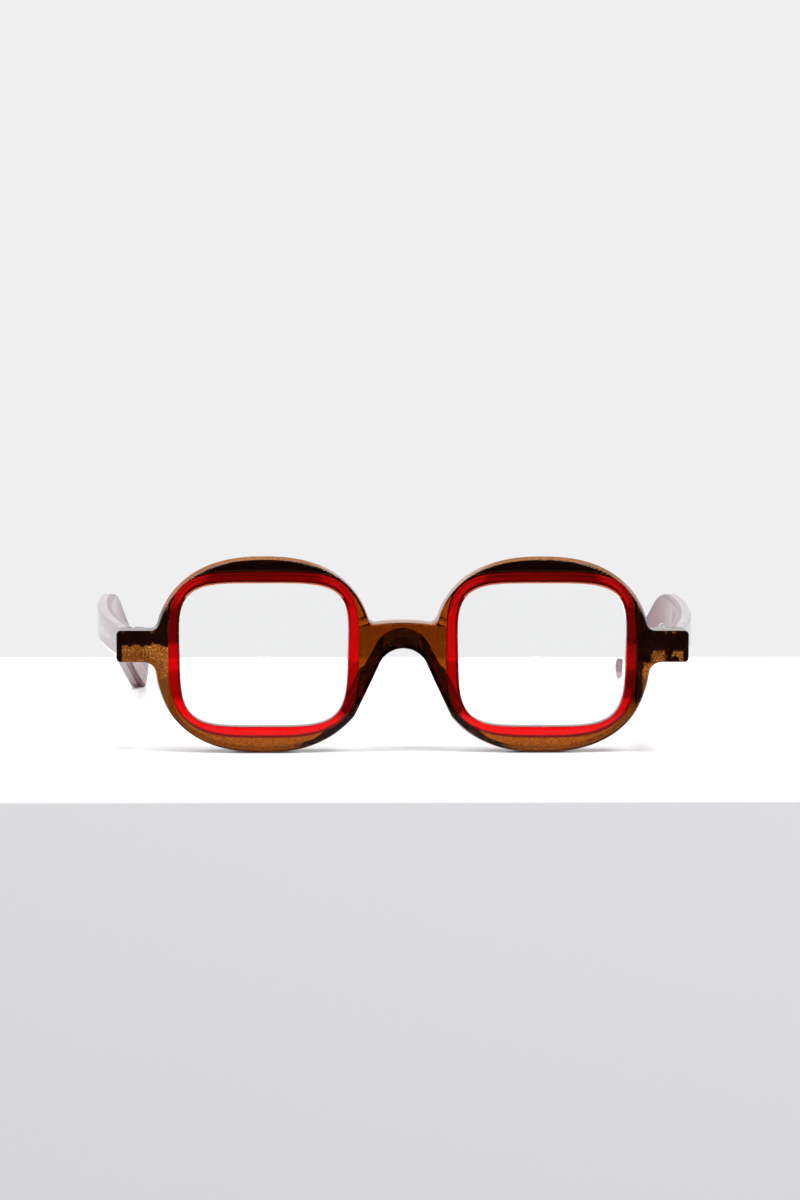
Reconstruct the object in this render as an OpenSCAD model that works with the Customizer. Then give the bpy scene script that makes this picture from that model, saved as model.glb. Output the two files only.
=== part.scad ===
// Spectacles with a thick two-colour acetate front and two-layer folding temples.
// Millimetres. +Z up, the front faces -Y, the temples run back along +Y. The origin is under
// the middle of the spectacles, on the surface that the rims and the temple tips rest on.
// Right and left are the wearer's: the right lens is at -X and the left lens at +X.

/* [Front] */
// Overall width across the two end pieces
front_width = 139; // [137:0.5:142]
// Thickness of the acetate front
front_thickness = 7.5; // [7:0.5:8.5]
// Distance between the lens centres
lens_spacing = 67.6; // [67:0.2:69]
// Width of one rim, outside
rim_width = 53.2; // [52.6:0.2:53.6]
// Height of one rim, outside
rim_height = 47.8; // [46.4:0.2:48.2]
// Roundness of the rim's outer outline, 2 being an ellipse
rim_power = 2.35; // [2.2:0.05:2.6]
// Height of an end piece
end_piece_height = 7.7; // [7.4:0.1:8.4]
// Height of an end piece's middle above the surface
end_piece_level = 26.05; // [25.8:0.05:26.4]
// Radius of an end piece's outer corners
end_piece_corner = 1; // [0.5:0.1:1.5]
// Fillet between rim and end piece, below
lower_fillet = 2.8; // [2:0.2:3.2]
// Fillet between rim and end piece, above, and between rim and bridge
upper_fillet = 1.8; // [1.4:0.2:2.2]

/* [Bridge] */
// Height of the bridge's top edge above the surface, in the middle
bridge_top = 32.05; // [31.6:0.05:32.4]
// How far the bridge's top edge falls towards the rims
bridge_camber = 0.45; // [0.2:0.05:0.6]
// Radius of the arch over the nose
arch_radius = 6.3; // [6.2:0.1:6.8]
// Height of the arch's centre above the surface
arch_level = 19.25; // [18.9:0.05:19.5]
// Angle at which the nose sides flare, from the vertical
nose_flare = 24; // [23:0.5:27]
// Upward slope of the saddle cut towards the back
saddle_slope = 30; // [20:1:32]

/* [Lenses] */
// Width of the lens opening
opening_width = 40.8; // [40:0.2:41.2]
// Height of the lens opening
opening_height = 35; // [34.4:0.2:35.2]
// Squareness of the lens opening
opening_power = 4.4; // [4:0.1:5]
// Extra half-width of the opening towards its top, as a fraction
opening_taper = 0.025; // [0:0.005:0.03]
// Width of the red inner rim
inner_rim_width = 2.7; // [2.4:0.1:2.8]
// Squareness of the inner rim's outer outline, above its middle
inner_rim_power_high = 4.2; // [3.8:0.1:4.3]
// Squareness of the inner rim's outer outline, below its middle
inner_rim_power_low = 3.2; // [3:0.1:3.8]
// Thickness of a lens
lens_thickness = 2; // [1.8:0.1:2.4]
// Depth of the lens groove
groove_depth = 0.7; // [0.5:0.1:0.9]
// Width of the lens groove
groove_width = 1; // [0.8:0.1:1.4]

/* [Temples] */
// Thickness of a temple
temple_thickness = 4; // [3.8:0.1:4.2]
// Thickness of its red inner layer
inner_layer = 1.6; // [1.5:0.1:1.8]
// Half the height of the temple tip
tip_radius = 4.1; // [3.8:0.1:4.3]
// Distance from the front face to the middle of the tip
tip_distance = 131; // [128:1:134]
// Distance from the front face to the start of the ear bend
bend_distance = 81; // [76:1:88]
// Radius of the ear bend
bend_radius = 34; // [28:1:40]
// Angle at which a temple leaves the hinge, outwards
splay = 9.2; // [8:0.2:11]
// Length of the flat stretch that takes the hinge leaf
hinge_flat = 16; // [15:1:18]
// Radius of the outward bow along the rest of the temple
bow_radius = 272; // [262:2:290]
// Distance from the joint to the front end of the core wire
wire_start = 14; // [13:1:20]
// Height of the flat core wire
wire_height = 2.2; // [1.8:0.1:2.4]
// Thickness of the core wire
wire_thickness = 0.9; // [0.7:0.1:1]

/* [Hinges] */
// Height of a hinge
hinge_height = 6.4; // [6:0.1:6.6]
// Radius of the knuckles
knuckle_radius = 1.2; // [1.1:0.05:1.25]
// Radius of the screw's shank
screw_radius = 0.7; // [0.6:0.05:0.75]
// Radius of the screw's head
screw_head_radius = 1.1; // [1:0.05:1.2]
// Radial clearance round the screw
running_clearance = 0.03; // [0.02:0.01:0.06]
// Thickness of the leaves
leaf_thickness = 0.9; // [0.8:0.1:1]
// Radius of the anchor pins
pin_radius = 0.55; // [0.4:0.05:0.6]

/* [Hidden] */
$fn = 48;

lens_x = lens_spacing / 2;
lens_z = rim_height / 2;
rim_a = rim_width / 2;
rim_b = rim_height / 2;
opening_a = opening_width / 2;
opening_b = opening_height / 2;
end_x = front_width / 2;
end_low = end_piece_level - end_piece_height / 2;
end_high = end_piece_level + end_piece_height / 2;
bridge_ends = bridge_top - bridge_camber;
seat_gap = 0.02;         // air left round a lens and a leaf in their seats
joint_gap = 0.1;         // air between an end piece and its temple
temple_inset = 0.2;      // how far a temple's outer face stands in from the end piece's end
axis_setback = 1.45;     // hinge axis behind the front's back face
axis_inset = 1.3;        // hinge axis inside the temple's inner face
knuckles = 5;
knuckle_gap = 0.05;
head_height = 0.6;
slot_width = 0.3;
pin_length = 3.3;
pin_spacing = 3;
leaf_length = 9;
pad_width = 2.8;
pad_length = 10;
pad_depth = 4.5;
pad_level = 14.8;
pad_offset = 1;          // how far a pad stands off the edge of the nose opening
cut = 0.5;               // how far a cutting solid runs past a face

// ---- Outlines ----

function signed_power(v, p) = sign(v) * pow(abs(v), p);

// Point of a superellipse with half-axes a and b at the parameter t, in degrees
function superellipse(a, b, n, t) =
    [a * signed_power(cos(t), 2 / n), b * signed_power(sin(t), 2 / n)];

// Closed superellipse outline of power n_high above its middle and n_low below it,
// widened towards its top by the fraction taper
function rounded_outline(a, b, n_high, n_low, taper = 0, steps = 72) = [
    for (i = [0 : steps - 1])
        let (t = 360 * i / steps)
        let (p = superellipse(a, b, t <= 180 ? n_high : n_low, t))
        [p[0] * (1 + taper * p[1] / b), p[1]]
];

// Points on an arc, from angle a0 to angle a1
function arc(centre, r, a0, a1, steps) = [
    for (i = [0 : steps])
        let (a = a0 + (a1 - a0) * i / steps)
        centre + r * [cos(a), sin(a)]
];

// Point of the left rim's outer outline, and its outward normal
function rim_point(t) = [lens_x, lens_z] + superellipse(rim_a, rim_b, rim_power, t);
function rim_normal(t) =
    let (p = 2 - 2 / rim_power)
    let (g = [signed_power(cos(t), p) / rim_a, signed_power(sin(t), p) / rim_b])
    g / norm(g);

// Centre of a fillet of radius r that touches the rim at t
function fillet_centre(t, r) = rim_point(t) + r * rim_normal(t);

// Parameter between lo and hi at which that centre lies at height z
function fillet_place(z, r, lo, hi, rounds = 26) =
    let (mid = (lo + hi) / 2)
    rounds == 0 ? mid
    : (fillet_centre(mid, r)[1] - z) * (fillet_centre(lo, r)[1] - z) <= 0
        ? fillet_place(z, r, lo, mid, rounds - 1)
        : fillet_place(z, r, mid, hi, rounds - 1);

// Angle from a fillet's centre towards the point where it touches the rim at t
function touch_angle(t) = atan2(-rim_normal(t)[1], -rim_normal(t)[0]);

// Stretch of the rim's outline between two parameters
function rim_run(t0, t1, steps) = [for (i = [0 : steps]) rim_point(t0 + (t1 - t0) * i / steps)];

// Where the flared side of the nose opening leaves the arch
flare_start = [arch_radius * cos(nose_flare), arch_level + arch_radius * sin(nose_flare)];

// How far a point of the rim lies outside the flared line
function beyond_flare(t) =
    let (p = rim_point(t))
    p[0] - flare_start[0] - (flare_start[1] - p[1]) * tan(nose_flare);

// Parameter between lo, outside the line, and hi, inside it, where the rim crosses the line
function flare_cross(lo, hi, rounds = 26) =
    let (mid = (lo + hi) / 2)
    rounds == 0 ? mid
    : beyond_flare(mid) > 0 ? flare_cross(mid, hi, rounds - 1)
    : flare_cross(lo, mid, rounds - 1);

t_bridge = fillet_place(bridge_ends + upper_fillet, upper_fillet, 100, 179);
t_end_high = fillet_place(end_high + upper_fillet, upper_fillet, 0.1, 80);
t_end_low = fillet_place(end_low - lower_fillet, lower_fillet, -60, -0.1);
t_nose = flare_cross(-100, -160);
camber_x = fillet_centre(t_bridge, upper_fillet)[0];

// Left half of the front's outline, from the top of the bridge round to the top of the arch
half_outline = concat(
    [for (i = [0 : 3]) [camber_x * i / 4, bridge_top - bridge_camber * pow(i / 4, 2)]],
    arc(fillet_centre(t_bridge, upper_fillet), upper_fillet, -90, touch_angle(t_bridge), 6),
    rim_run(t_bridge - 2, t_end_high + 2, 34),
    arc(fillet_centre(t_end_high, upper_fillet), upper_fillet, touch_angle(t_end_high), -90, 6),
    arc([end_x - end_piece_corner, end_high - end_piece_corner], end_piece_corner, 90, 0, 4),
    arc([end_x - end_piece_corner, end_low + end_piece_corner], end_piece_corner, 0, -90, 4),
    arc(fillet_centre(t_end_low, lower_fillet), lower_fillet, 90, touch_angle(t_end_low), 8),
    rim_run(t_end_low - 2, t_nose, 34),
    arc([0, arch_level], arch_radius, nose_flare, 90, 12)
);

// Whole outline: the left half, then its mirror image back to the start
front_outline = concat(
    half_outline,
    [for (i = [len(half_outline) - 2 : -1 : 1]) [-half_outline[i][0], half_outline[i][1]]]
);

// ---- Temple shape ----

// Seen from above: a straight stretch, then a long arc that bows outwards
temple_root = [end_x - temple_inset - temple_thickness / 2, front_thickness + joint_gap];
function outward(heading) = [cos(heading), -sin(heading)];
bow_centre = temple_root + hinge_flat * [sin(splay), cos(splay)] - bow_radius * outward(splay);

// Point at the length s along the temple and the distance off outwards from its middle
function plan_point(s, off) =
    s <= hinge_flat
        ? temple_root + s * [sin(splay), cos(splay)] + off * outward(splay)
        : bow_centre + (bow_radius + off) * outward(splay - (s - hinge_flat) / bow_radius * 180 / PI);

// Band along the temple between two distances from its middle, and between two lengths
function plan_band(from, to, s0, s1, steps = 28) = concat(
    [for (i = [0 : steps]) plan_point(s0 + (s1 - s0) * i / steps, from)],
    [for (i = [steps : -1 : 0]) plan_point(s0 + (s1 - s0) * i / steps, to)]
);

// Seen from the side: level, then an arc down to the straight tip
tip_centre = [tip_distance, tip_radius];
bend_centre = [bend_distance, end_piece_level - bend_radius];
to_tip = tip_centre - bend_centre;
drop_angle = asin(bend_radius / norm(to_tip)) - atan2(to_tip[1], to_tip[0]);
side_start = front_thickness + joint_gap;

// Half-height of the temple at the distance y
function half_height(y) =
    let (f = min(1, max(0, (y - side_start) / (bend_distance - side_start))))
    end_piece_height / 2 + (tip_radius - end_piece_height / 2) * f;

// Edge of a strip along the temple: side is 1 above and -1 below, h its half-height
function edge_level(y, h, side) = [y, end_piece_level + side * h];
function edge_bend(a, h, side) = bend_centre + (bend_radius + side * h) * [sin(a), cos(a)];

// Side outline, from the joint along the top, round the tip and back
tip_top_angle = 90 - drop_angle;
side_outline = concat(
    [for (i = [0 : 3]) let (y = side_start + (bend_distance - side_start) * i / 4)
        edge_level(y, half_height(y), 1)],
    [for (i = [0 : 6]) edge_bend(drop_angle * i / 6, tip_radius, 1)],
    arc(tip_centre, tip_radius, tip_top_angle, -90, 14),
    arc(tip_centre, tip_radius, -90, -90 - drop_angle, 3),
    [for (i = [6 : -1 : 0]) edge_bend(drop_angle * i / 6, tip_radius, -1)],
    [for (i = [3 : -1 : 0]) let (y = side_start + (bend_distance - side_start) * i / 4)
        edge_level(y, half_height(y), -1)]
);

// Side outline of the core wire, which stops inside the tip
wire_outline = concat(
    [edge_level(side_start + wire_start, wire_height / 2, 1)],
    [for (i = [0 : 6]) edge_bend(drop_angle * i / 6, wire_height / 2, 1)],
    arc(tip_centre, wire_height / 2, tip_top_angle, -90 - drop_angle, 8),
    [for (i = [6 : -1 : 0]) edge_bend(drop_angle * i / 6, wire_height / 2, -1)],
    [edge_level(side_start + wire_start, wire_height / 2, -1)]
);

total_depth = max([for (p = side_outline) p[0]]);
plan_end = total_depth + 6;
layer_split = inner_layer - temple_thickness / 2;

// ---- Hinge places ----

axis = [temple_root[0] - temple_thickness / 2 - axis_inset, front_thickness + axis_setback];
hinge_low = end_piece_level - hinge_height / 2;
hinge_high = end_piece_level + hinge_height / 2;
knuckle_pitch = hinge_height / knuckles;
// Distance from the axis to the temple's inner face, at right angles to that face
face_distance = (temple_root - axis) * outward(splay) - temple_thickness / 2;
pad_centre = [
    flare_start[0] + (flare_start[1] - pad_level) * tan(nose_flare)
        + (pad_offset + pad_width / 2) / cos(nose_flare),
    pad_level
];

// ---- Helpers ----

// Moves everything so that the origin is under the middle of the whole depth
module placed(side) {
    translate([0, -total_depth / 2, 0])
        mirror([side < 0 ? 1 : 0, 0, 0])
            children();
}

// Extrudes an outline drawn in X and Z from the depth y, going back
module slab(y, depth) {
    translate([0, y + depth, 0])
        rotate([90, 0, 0])
            linear_extrude(depth)
                children();
}

// Extrudes an outline drawn in Y and Z across the temple's whole width
module across() {
    translate([end_x / 2, 0, 0])
        rotate([90, 0, 90])
            linear_extrude(end_x)
                children();
}

// Extrudes an outline drawn in X and Y over the whole height
module upright() {
    translate([0, 0, -cut])
        linear_extrude(end_high + 2 * tip_radius)
            children();
}

// Outline of the opening, grown outwards by a margin
module opening(margin) {
    translate([lens_x, lens_z])
        polygon(rounded_outline(
            opening_a + margin, opening_b + margin, opening_power, opening_power, opening_taper));
}

// Outer outline of the inner rim
module inner_rim_edge() {
    translate([lens_x, lens_z])
        polygon(rounded_outline(
            opening_a + inner_rim_width, opening_b + inner_rim_width,
            inner_rim_power_high, inner_rim_power_low));
}

// Frame whose X points out of the temple's inner face and whose Y runs along the temple
module along_temple() {
    translate([axis[0], axis[1], 0])
        rotate([0, 0, -splay])
            children();
}

// The plate of the front hinge leaf, let into the back of the end piece
module front_leaf_plate(gap) {
    translate([axis[0] - leaf_length + knuckle_radius + 1, front_thickness - leaf_thickness - gap, hinge_low])
        cube([leaf_length - 1, leaf_thickness + gap, hinge_height]);
}

// The plate of the temple hinge leaf, let into the temple's inner face
module temple_leaf_plate(gap) {
    along_temple()
        translate([face_distance - gap, 1 - knuckle_radius, hinge_low])
            cube([leaf_thickness + gap, leaf_length, hinge_height]);
}

// The anchor pins of the front leaf, grown by a margin
module front_pins(length) {
    for (z = [-1, 1])
        translate([axis[0] - leaf_length / 2, front_thickness, end_piece_level + z * pin_spacing / 2])
            rotate([90, 0, 0])
                cylinder(r = pin_radius, h = length);
}

// The anchor pins of the temple leaf
module temple_pins(length) {
    for (i = [0, 1])
        along_temple()
            translate([face_distance, leaf_length / 2 + i * pin_spacing, end_piece_level])
                rotate([0, 90, 0])
                    cylinder(r = pin_radius, h = length);
}

// One knuckle, number i from the bottom, with its web along +X of the current frame
module knuckle(i, web) {
    translate([0, 0, hinge_low + i * knuckle_pitch + knuckle_gap / 2])
        difference() {
            union() {
                cylinder(r = knuckle_radius, h = knuckle_pitch - knuckle_gap);
                translate([0, -knuckle_radius * 0.7, 0])
                    cube([web, knuckle_radius * 1.4, knuckle_pitch - knuckle_gap]);
            }
            translate([0, 0, -cut])
                cylinder(r = screw_radius + running_clearance, h = knuckle_pitch + 2 * cut);
        }
}

// ---- Sub-parts, drawn for the wearer's left and mirrored for the right ----

module front_frame() {
    color("saddlebrown")
        translate([0, -total_depth / 2, 0])
            difference() {
                slab(0, front_thickness) polygon(front_outline);
                for (side = [0, 1])
                    mirror([side, 0, 0]) {
                        slab(-cut, front_thickness + 2 * cut) inner_rim_edge();
                        front_leaf_plate(seat_gap);
                        front_pins(pin_length);
                    }
                saddle_cut();
            }
}

// Round cut that rises towards the back of the bridge, so that it sits on the nose
module saddle_cut() {
    translate([0, 0, arch_level])
        rotate([saddle_slope - 90, 0, 0])
            cylinder(r = arch_radius, h = 2 * front_thickness);
}

module inner_rim(side) {
    color("red")
        placed(side)
            difference() {
                slab(0, front_thickness) inner_rim_edge();
                slab(-cut, front_thickness + 2 * cut) opening(0);
                slab((front_thickness - groove_width) / 2, groove_width) opening(groove_depth);
            }
}

// A lens whose edge carries a raised bead that sits in the groove
module lens(side) {
    color([0.9, 0.95, 1, 0.35])
        placed(side) {
            slab((front_thickness - lens_thickness) / 2, lens_thickness) opening(-seat_gap);
            slab((front_thickness - groove_width) / 2 + seat_gap, groove_width - 2 * seat_gap)
                opening(groove_depth - seat_gap);
        }
}

// A rounded pad bonded to the back of the rim beside the nose
module nose_pad(side) {
    color("chocolate")
        placed(side)
            translate([pad_centre[0], front_thickness, pad_centre[1]])
                rotate([0, -nose_flare, 0]) {
                    translate([-pad_width / 2, 0, -pad_length / 2])
                        cube([pad_width, pad_depth, pad_length]);
                    for (z = [-1, 1])
                        translate([0, 0, z * pad_length / 2])
                            rotate([-90, 0, 0])
                                cylinder(r = pad_width / 2, h = pad_depth);
                }
}

module front_hinge_leaf(side) {
    color("silver")
        placed(side) {
            difference() {
                front_leaf_plate(0);
                front_pins(pin_length);
            }
            for (i = [0 : 2 : knuckles - 1])
                translate([axis[0], axis[1], 0])
                    rotate([0, 0, -90])
                        knuckle(i, axis_setback);
        }
}

module front_hinge_rivets(side) {
    color("gray")
        placed(side)
            front_pins(pin_length);
}

module hinge_screw(side) {
    color("lightgray")
        placed(side)
            translate([axis[0], axis[1], 0])
                difference() {
                    union() {
                        translate([0, 0, hinge_low])
                            cylinder(r = screw_radius, h = hinge_height);
                        translate([0, 0, hinge_high])
                            cylinder(r = screw_head_radius, h = head_height);
                    }
                    translate([-2 * screw_head_radius, -slot_width / 2, hinge_high + head_height / 2])
                        cube([4 * screw_head_radius, slot_width, head_height]);
                }
}

module temple_hinge_leaf(side) {
    color("silver")
        placed(side) {
            difference() {
                temple_leaf_plate(0);
                temple_pins(pin_length);
            }
            for (i = [1 : 2 : knuckles - 2])
                along_temple() knuckle(i, face_distance);
        }
}

module temple_hinge_rivets(side) {
    color("gray")
        placed(side)
            temple_pins(pin_length);
}

module temple_layer(from, to) {
    intersection() {
        across() polygon(side_outline);
        upright() polygon(plan_band(from, to, -2, plan_end));
    }
}

module wire_solid() {
    intersection() {
        across() polygon(wire_outline);
        upright() polygon(plan_band(
            layer_split - wire_thickness / 2, layer_split + wire_thickness / 2, 0, plan_end));
    }
}

module temple_outer(side) {
    color("lavender")
        placed(side)
            difference() {
                temple_layer(layer_split, temple_thickness / 2);
                wire_solid();
                temple_pins(pin_length);
            }
}

module temple_inner(side) {
    color("crimson")
        placed(side)
            difference() {
                temple_layer(-temple_thickness / 2, layer_split);
                wire_solid();
                temple_leaf_plate(seat_gap);
                temple_pins(pin_length);
            }
}

module core_wire(side) {
    color("darkgray")
        placed(side)
            wire_solid();
}

front_frame();
inner_rim(-1);  // inner_rim_right
inner_rim(1);  // inner_rim_left
lens(-1);  // lens_right
lens(1);  // lens_left
nose_pad(-1);  // nose_pad_right
nose_pad(1);  // nose_pad_left
front_hinge_leaf(-1);  // front_hinge_leaf_right
front_hinge_leaf(1);  // front_hinge_leaf_left
front_hinge_rivets(-1);  // front_hinge_rivets_right
front_hinge_rivets(1);  // front_hinge_rivets_left
hinge_screw(-1);  // hinge_screw_right
hinge_screw(1);  // hinge_screw_left
temple_hinge_leaf(-1);  // temple_hinge_leaf_right
temple_hinge_leaf(1);  // temple_hinge_leaf_left
temple_hinge_rivets(-1);  // temple_hinge_rivets_right
temple_hinge_rivets(1);  // temple_hinge_rivets_left
temple_outer(-1);  // temple_outer_right
temple_outer(1);  // temple_outer_left
temple_inner(-1);  // temple_inner_right
temple_inner(1);  // temple_inner_left
core_wire(-1);  // core_wire_right
core_wire(1);  // core_wire_left
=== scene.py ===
"""The looks of the acetate spectacles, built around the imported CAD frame.

Sizes are in millimetres, measured from the front face (y = 0) back towards the temple tips,
and repeat the CAD model's driving sizes. to_world() moves them into the shared frame.
Right and left are the wearer's: side -1 is right (-X) and side +1 is left (+X).
"""

import math

import bmesh
import bpy
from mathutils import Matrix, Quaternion, Vector


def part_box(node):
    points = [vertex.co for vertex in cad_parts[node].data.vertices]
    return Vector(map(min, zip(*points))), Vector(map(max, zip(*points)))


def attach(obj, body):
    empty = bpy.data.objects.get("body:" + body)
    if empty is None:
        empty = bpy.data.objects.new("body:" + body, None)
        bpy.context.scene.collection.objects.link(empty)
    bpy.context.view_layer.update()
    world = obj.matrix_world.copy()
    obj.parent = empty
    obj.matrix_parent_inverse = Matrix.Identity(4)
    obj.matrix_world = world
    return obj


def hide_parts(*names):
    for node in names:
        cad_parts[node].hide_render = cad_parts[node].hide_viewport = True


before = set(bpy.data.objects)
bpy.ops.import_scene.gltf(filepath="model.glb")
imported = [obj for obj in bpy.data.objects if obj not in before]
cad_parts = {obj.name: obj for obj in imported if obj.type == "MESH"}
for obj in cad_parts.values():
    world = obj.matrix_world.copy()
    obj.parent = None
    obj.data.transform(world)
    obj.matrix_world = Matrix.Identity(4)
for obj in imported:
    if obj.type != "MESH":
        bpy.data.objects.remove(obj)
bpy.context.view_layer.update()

MM = 0.001
SIDES = {"right": -1, "left": 1}

# ---- Driving sizes, as in the CAD ----

FRONT_WIDTH = 139.0
THICKNESS = 7.5
LENS_X = 33.8
RIM_A, RIM_B, RIM_POWER = 26.6, 23.9, 2.35
LENS_Z = RIM_B
PIECE_HEIGHT, PIECE_LEVEL, PIECE_CORNER = 7.7, 26.05, 1.0
LOWER_FILLET, UPPER_FILLET = 2.8, 1.8
BRIDGE_TOP, BRIDGE_CAMBER = 32.05, 0.45
ARCH_RADIUS, ARCH_LEVEL, NOSE_FLARE = 6.3, 19.25, 24.0
OPENING_A, OPENING_B, OPENING_POWER, OPENING_TAPER = 20.4, 17.5, 4.4, 0.025
INNER_RIM_WIDTH, INNER_RIM_HIGH, INNER_RIM_LOW = 2.7, 4.2, 3.2
TEMPLE_THICKNESS, INNER_LAYER = 4.0, 1.6
TIP_RADIUS, TIP_DISTANCE = 4.1, 131.0
BEND_DISTANCE, BEND_RADIUS = 81.0, 34.0
SPLAY, HINGE_FLAT, BOW_RADIUS = 9.2, 16.0, 272.0
JOINT_GAP, TEMPLE_INSET = 0.1, 0.2
WIRE_START, WIRE_HEIGHT, WIRE_THICKNESS = 14.0, 2.2, 0.9

# ---- Sizes of the finish, which the CAD leaves plain ----

EDGE_ROUND = 0.4          # rounding of the front's outer edges
FACE_MARGIN = 1.0         # how far in from the edges the front face starts to be flat
DRAFT, DRAFT_DEPTH = 0.75, 2.0    # how far the top edges lean in towards the front face
RIM_BEVEL, RIM_BEVEL_LOW = 3.75, 0.9          # width of the bevel round the back of the rims
RIM_BEVEL_DEPTH, RIM_BEVEL_DEPTH_LOW = 3.3, 0.8
RING_BEVEL, RING_BEVEL_DEPTH = 1.5, 1.5       # how the bevel goes on into the inner rims' tops
PIECE_BEVEL = 0.35        # the same on the end pieces, which meet the temples
BRIDGE_BEVEL = 1.2
SADDLE_RADIUS, SADDLE_LEVEL, SADDLE_FLARE = 7.3, 22.75, 20.5  # nose opening at the back face
SADDLE_DEPTH = 5.8
SEAM = 0.12               # least width of brown left beside the inner rim
BACK_SEAM = 0.05          # the same at the back
RING_HIGHLIGHT_LEVEL = 38.0    # above this the inner rims' front edge gets a paler painted highlight
PIECE_START = 57.0        # where the grainier acetate of the end pieces, with its painted light and shade, starts
NOSE_SHADE_REACH = 20.0         # how far out the painted shade of deep brown beside the nose goes
GROOVE_WIDTH, GROOVE_DEPTH = 2.0, 0.6
RIM_STEPS, ARCH_STEPS = 56, 20
RING_STEPS = 176
SHARP_ANGLE = math.radians(32)

FRONT_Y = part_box("front_frame")[0][1] / MM


def to_world(point, side=1):
    """A point in millimetres from the front face, in metres in the shared frame."""
    x, y, z = point
    return (side * x * MM, (y + FRONT_Y) * MM, z * MM)


# ---- Outlines ----

def signed_power(value, power):
    return math.copysign(abs(value) ** power, value)


def arc(centre, radius, start, end, steps):
    """Points on an arc between two angles in degrees."""
    angles = [math.radians(start + (end - start) * i / steps) for i in range(steps + 1)]
    return [(centre[0] + radius * math.cos(a), centre[1] + radius * math.sin(a)) for a in angles]


def bisect(function, low, high, rounds=40):
    """Where function, of one sign at low and the other at high, crosses zero."""
    sign = function(low) > 0
    for _ in range(rounds):
        middle = (low + high) / 2
        if (function(middle) > 0) == sign:
            low = middle
        else:
            high = middle
    return (low + high) / 2


def polar_radius(a, b, power, angle):
    """Radius of a superellipse in the direction angle."""
    c, s = abs(math.cos(angle)) / a, abs(math.sin(angle)) / b
    return (c ** power + s ** power) ** (-1 / power)


def inner_rim_radius(angle):
    power = INNER_RIM_HIGH if math.sin(angle) > 0 else INNER_RIM_LOW
    return polar_radius(OPENING_A + INNER_RIM_WIDTH, OPENING_B + INNER_RIM_WIDTH, power, angle)


def inner_rim_outline(margin=0.0):
    """The left inner rim's outer outline, as (x, z) points."""
    points = []
    for i in range(RING_STEPS):
        angle = 2 * math.pi * i / RING_STEPS
        radius = inner_rim_radius(angle) + margin
        points.append((LENS_X + radius * math.cos(angle), LENS_Z + radius * math.sin(angle)))
    return points


def opening_outline(margin=0.0, scale=1.0):
    """The left lens opening's outline, grown by a margin or scaled about its middle."""
    points = []
    for i in range(RING_STEPS):
        angle = 2 * math.pi * i / RING_STEPS
        radius = polar_radius(OPENING_A + margin, OPENING_B + margin, OPENING_POWER, angle) * scale
        x, z = radius * math.cos(angle), radius * math.sin(angle)
        points.append((LENS_X + x * (1 + OPENING_TAPER * z / OPENING_B), LENS_Z + z))
    return points


def smooth_share(value, low, high):
    """0 below low, 1 above high, smooth between."""
    share = min(1.0, max(0.0, (value - low) / (high - low)))
    return share * share * (3 - 2 * share)


def rim_bevel(point, wide, narrow):
    """A size of the bevel behind the rims: wide over the top, the outer sides and low beside
    the nose, and narrow elsewhere."""
    x, z = point
    by_nose = 1 - smooth_share(abs(x), 16.0, 24.0)
    outer_share = smooth_share(z, 6.0, 20.0)
    nose_share = smooth_share(z, 0.5, 4.5) * (1 - smooth_share(z, 20.0, 25.0))
    share = outer_share + (nose_share - outer_share) * by_nose
    return narrow + (wide - narrow) * share


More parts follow.
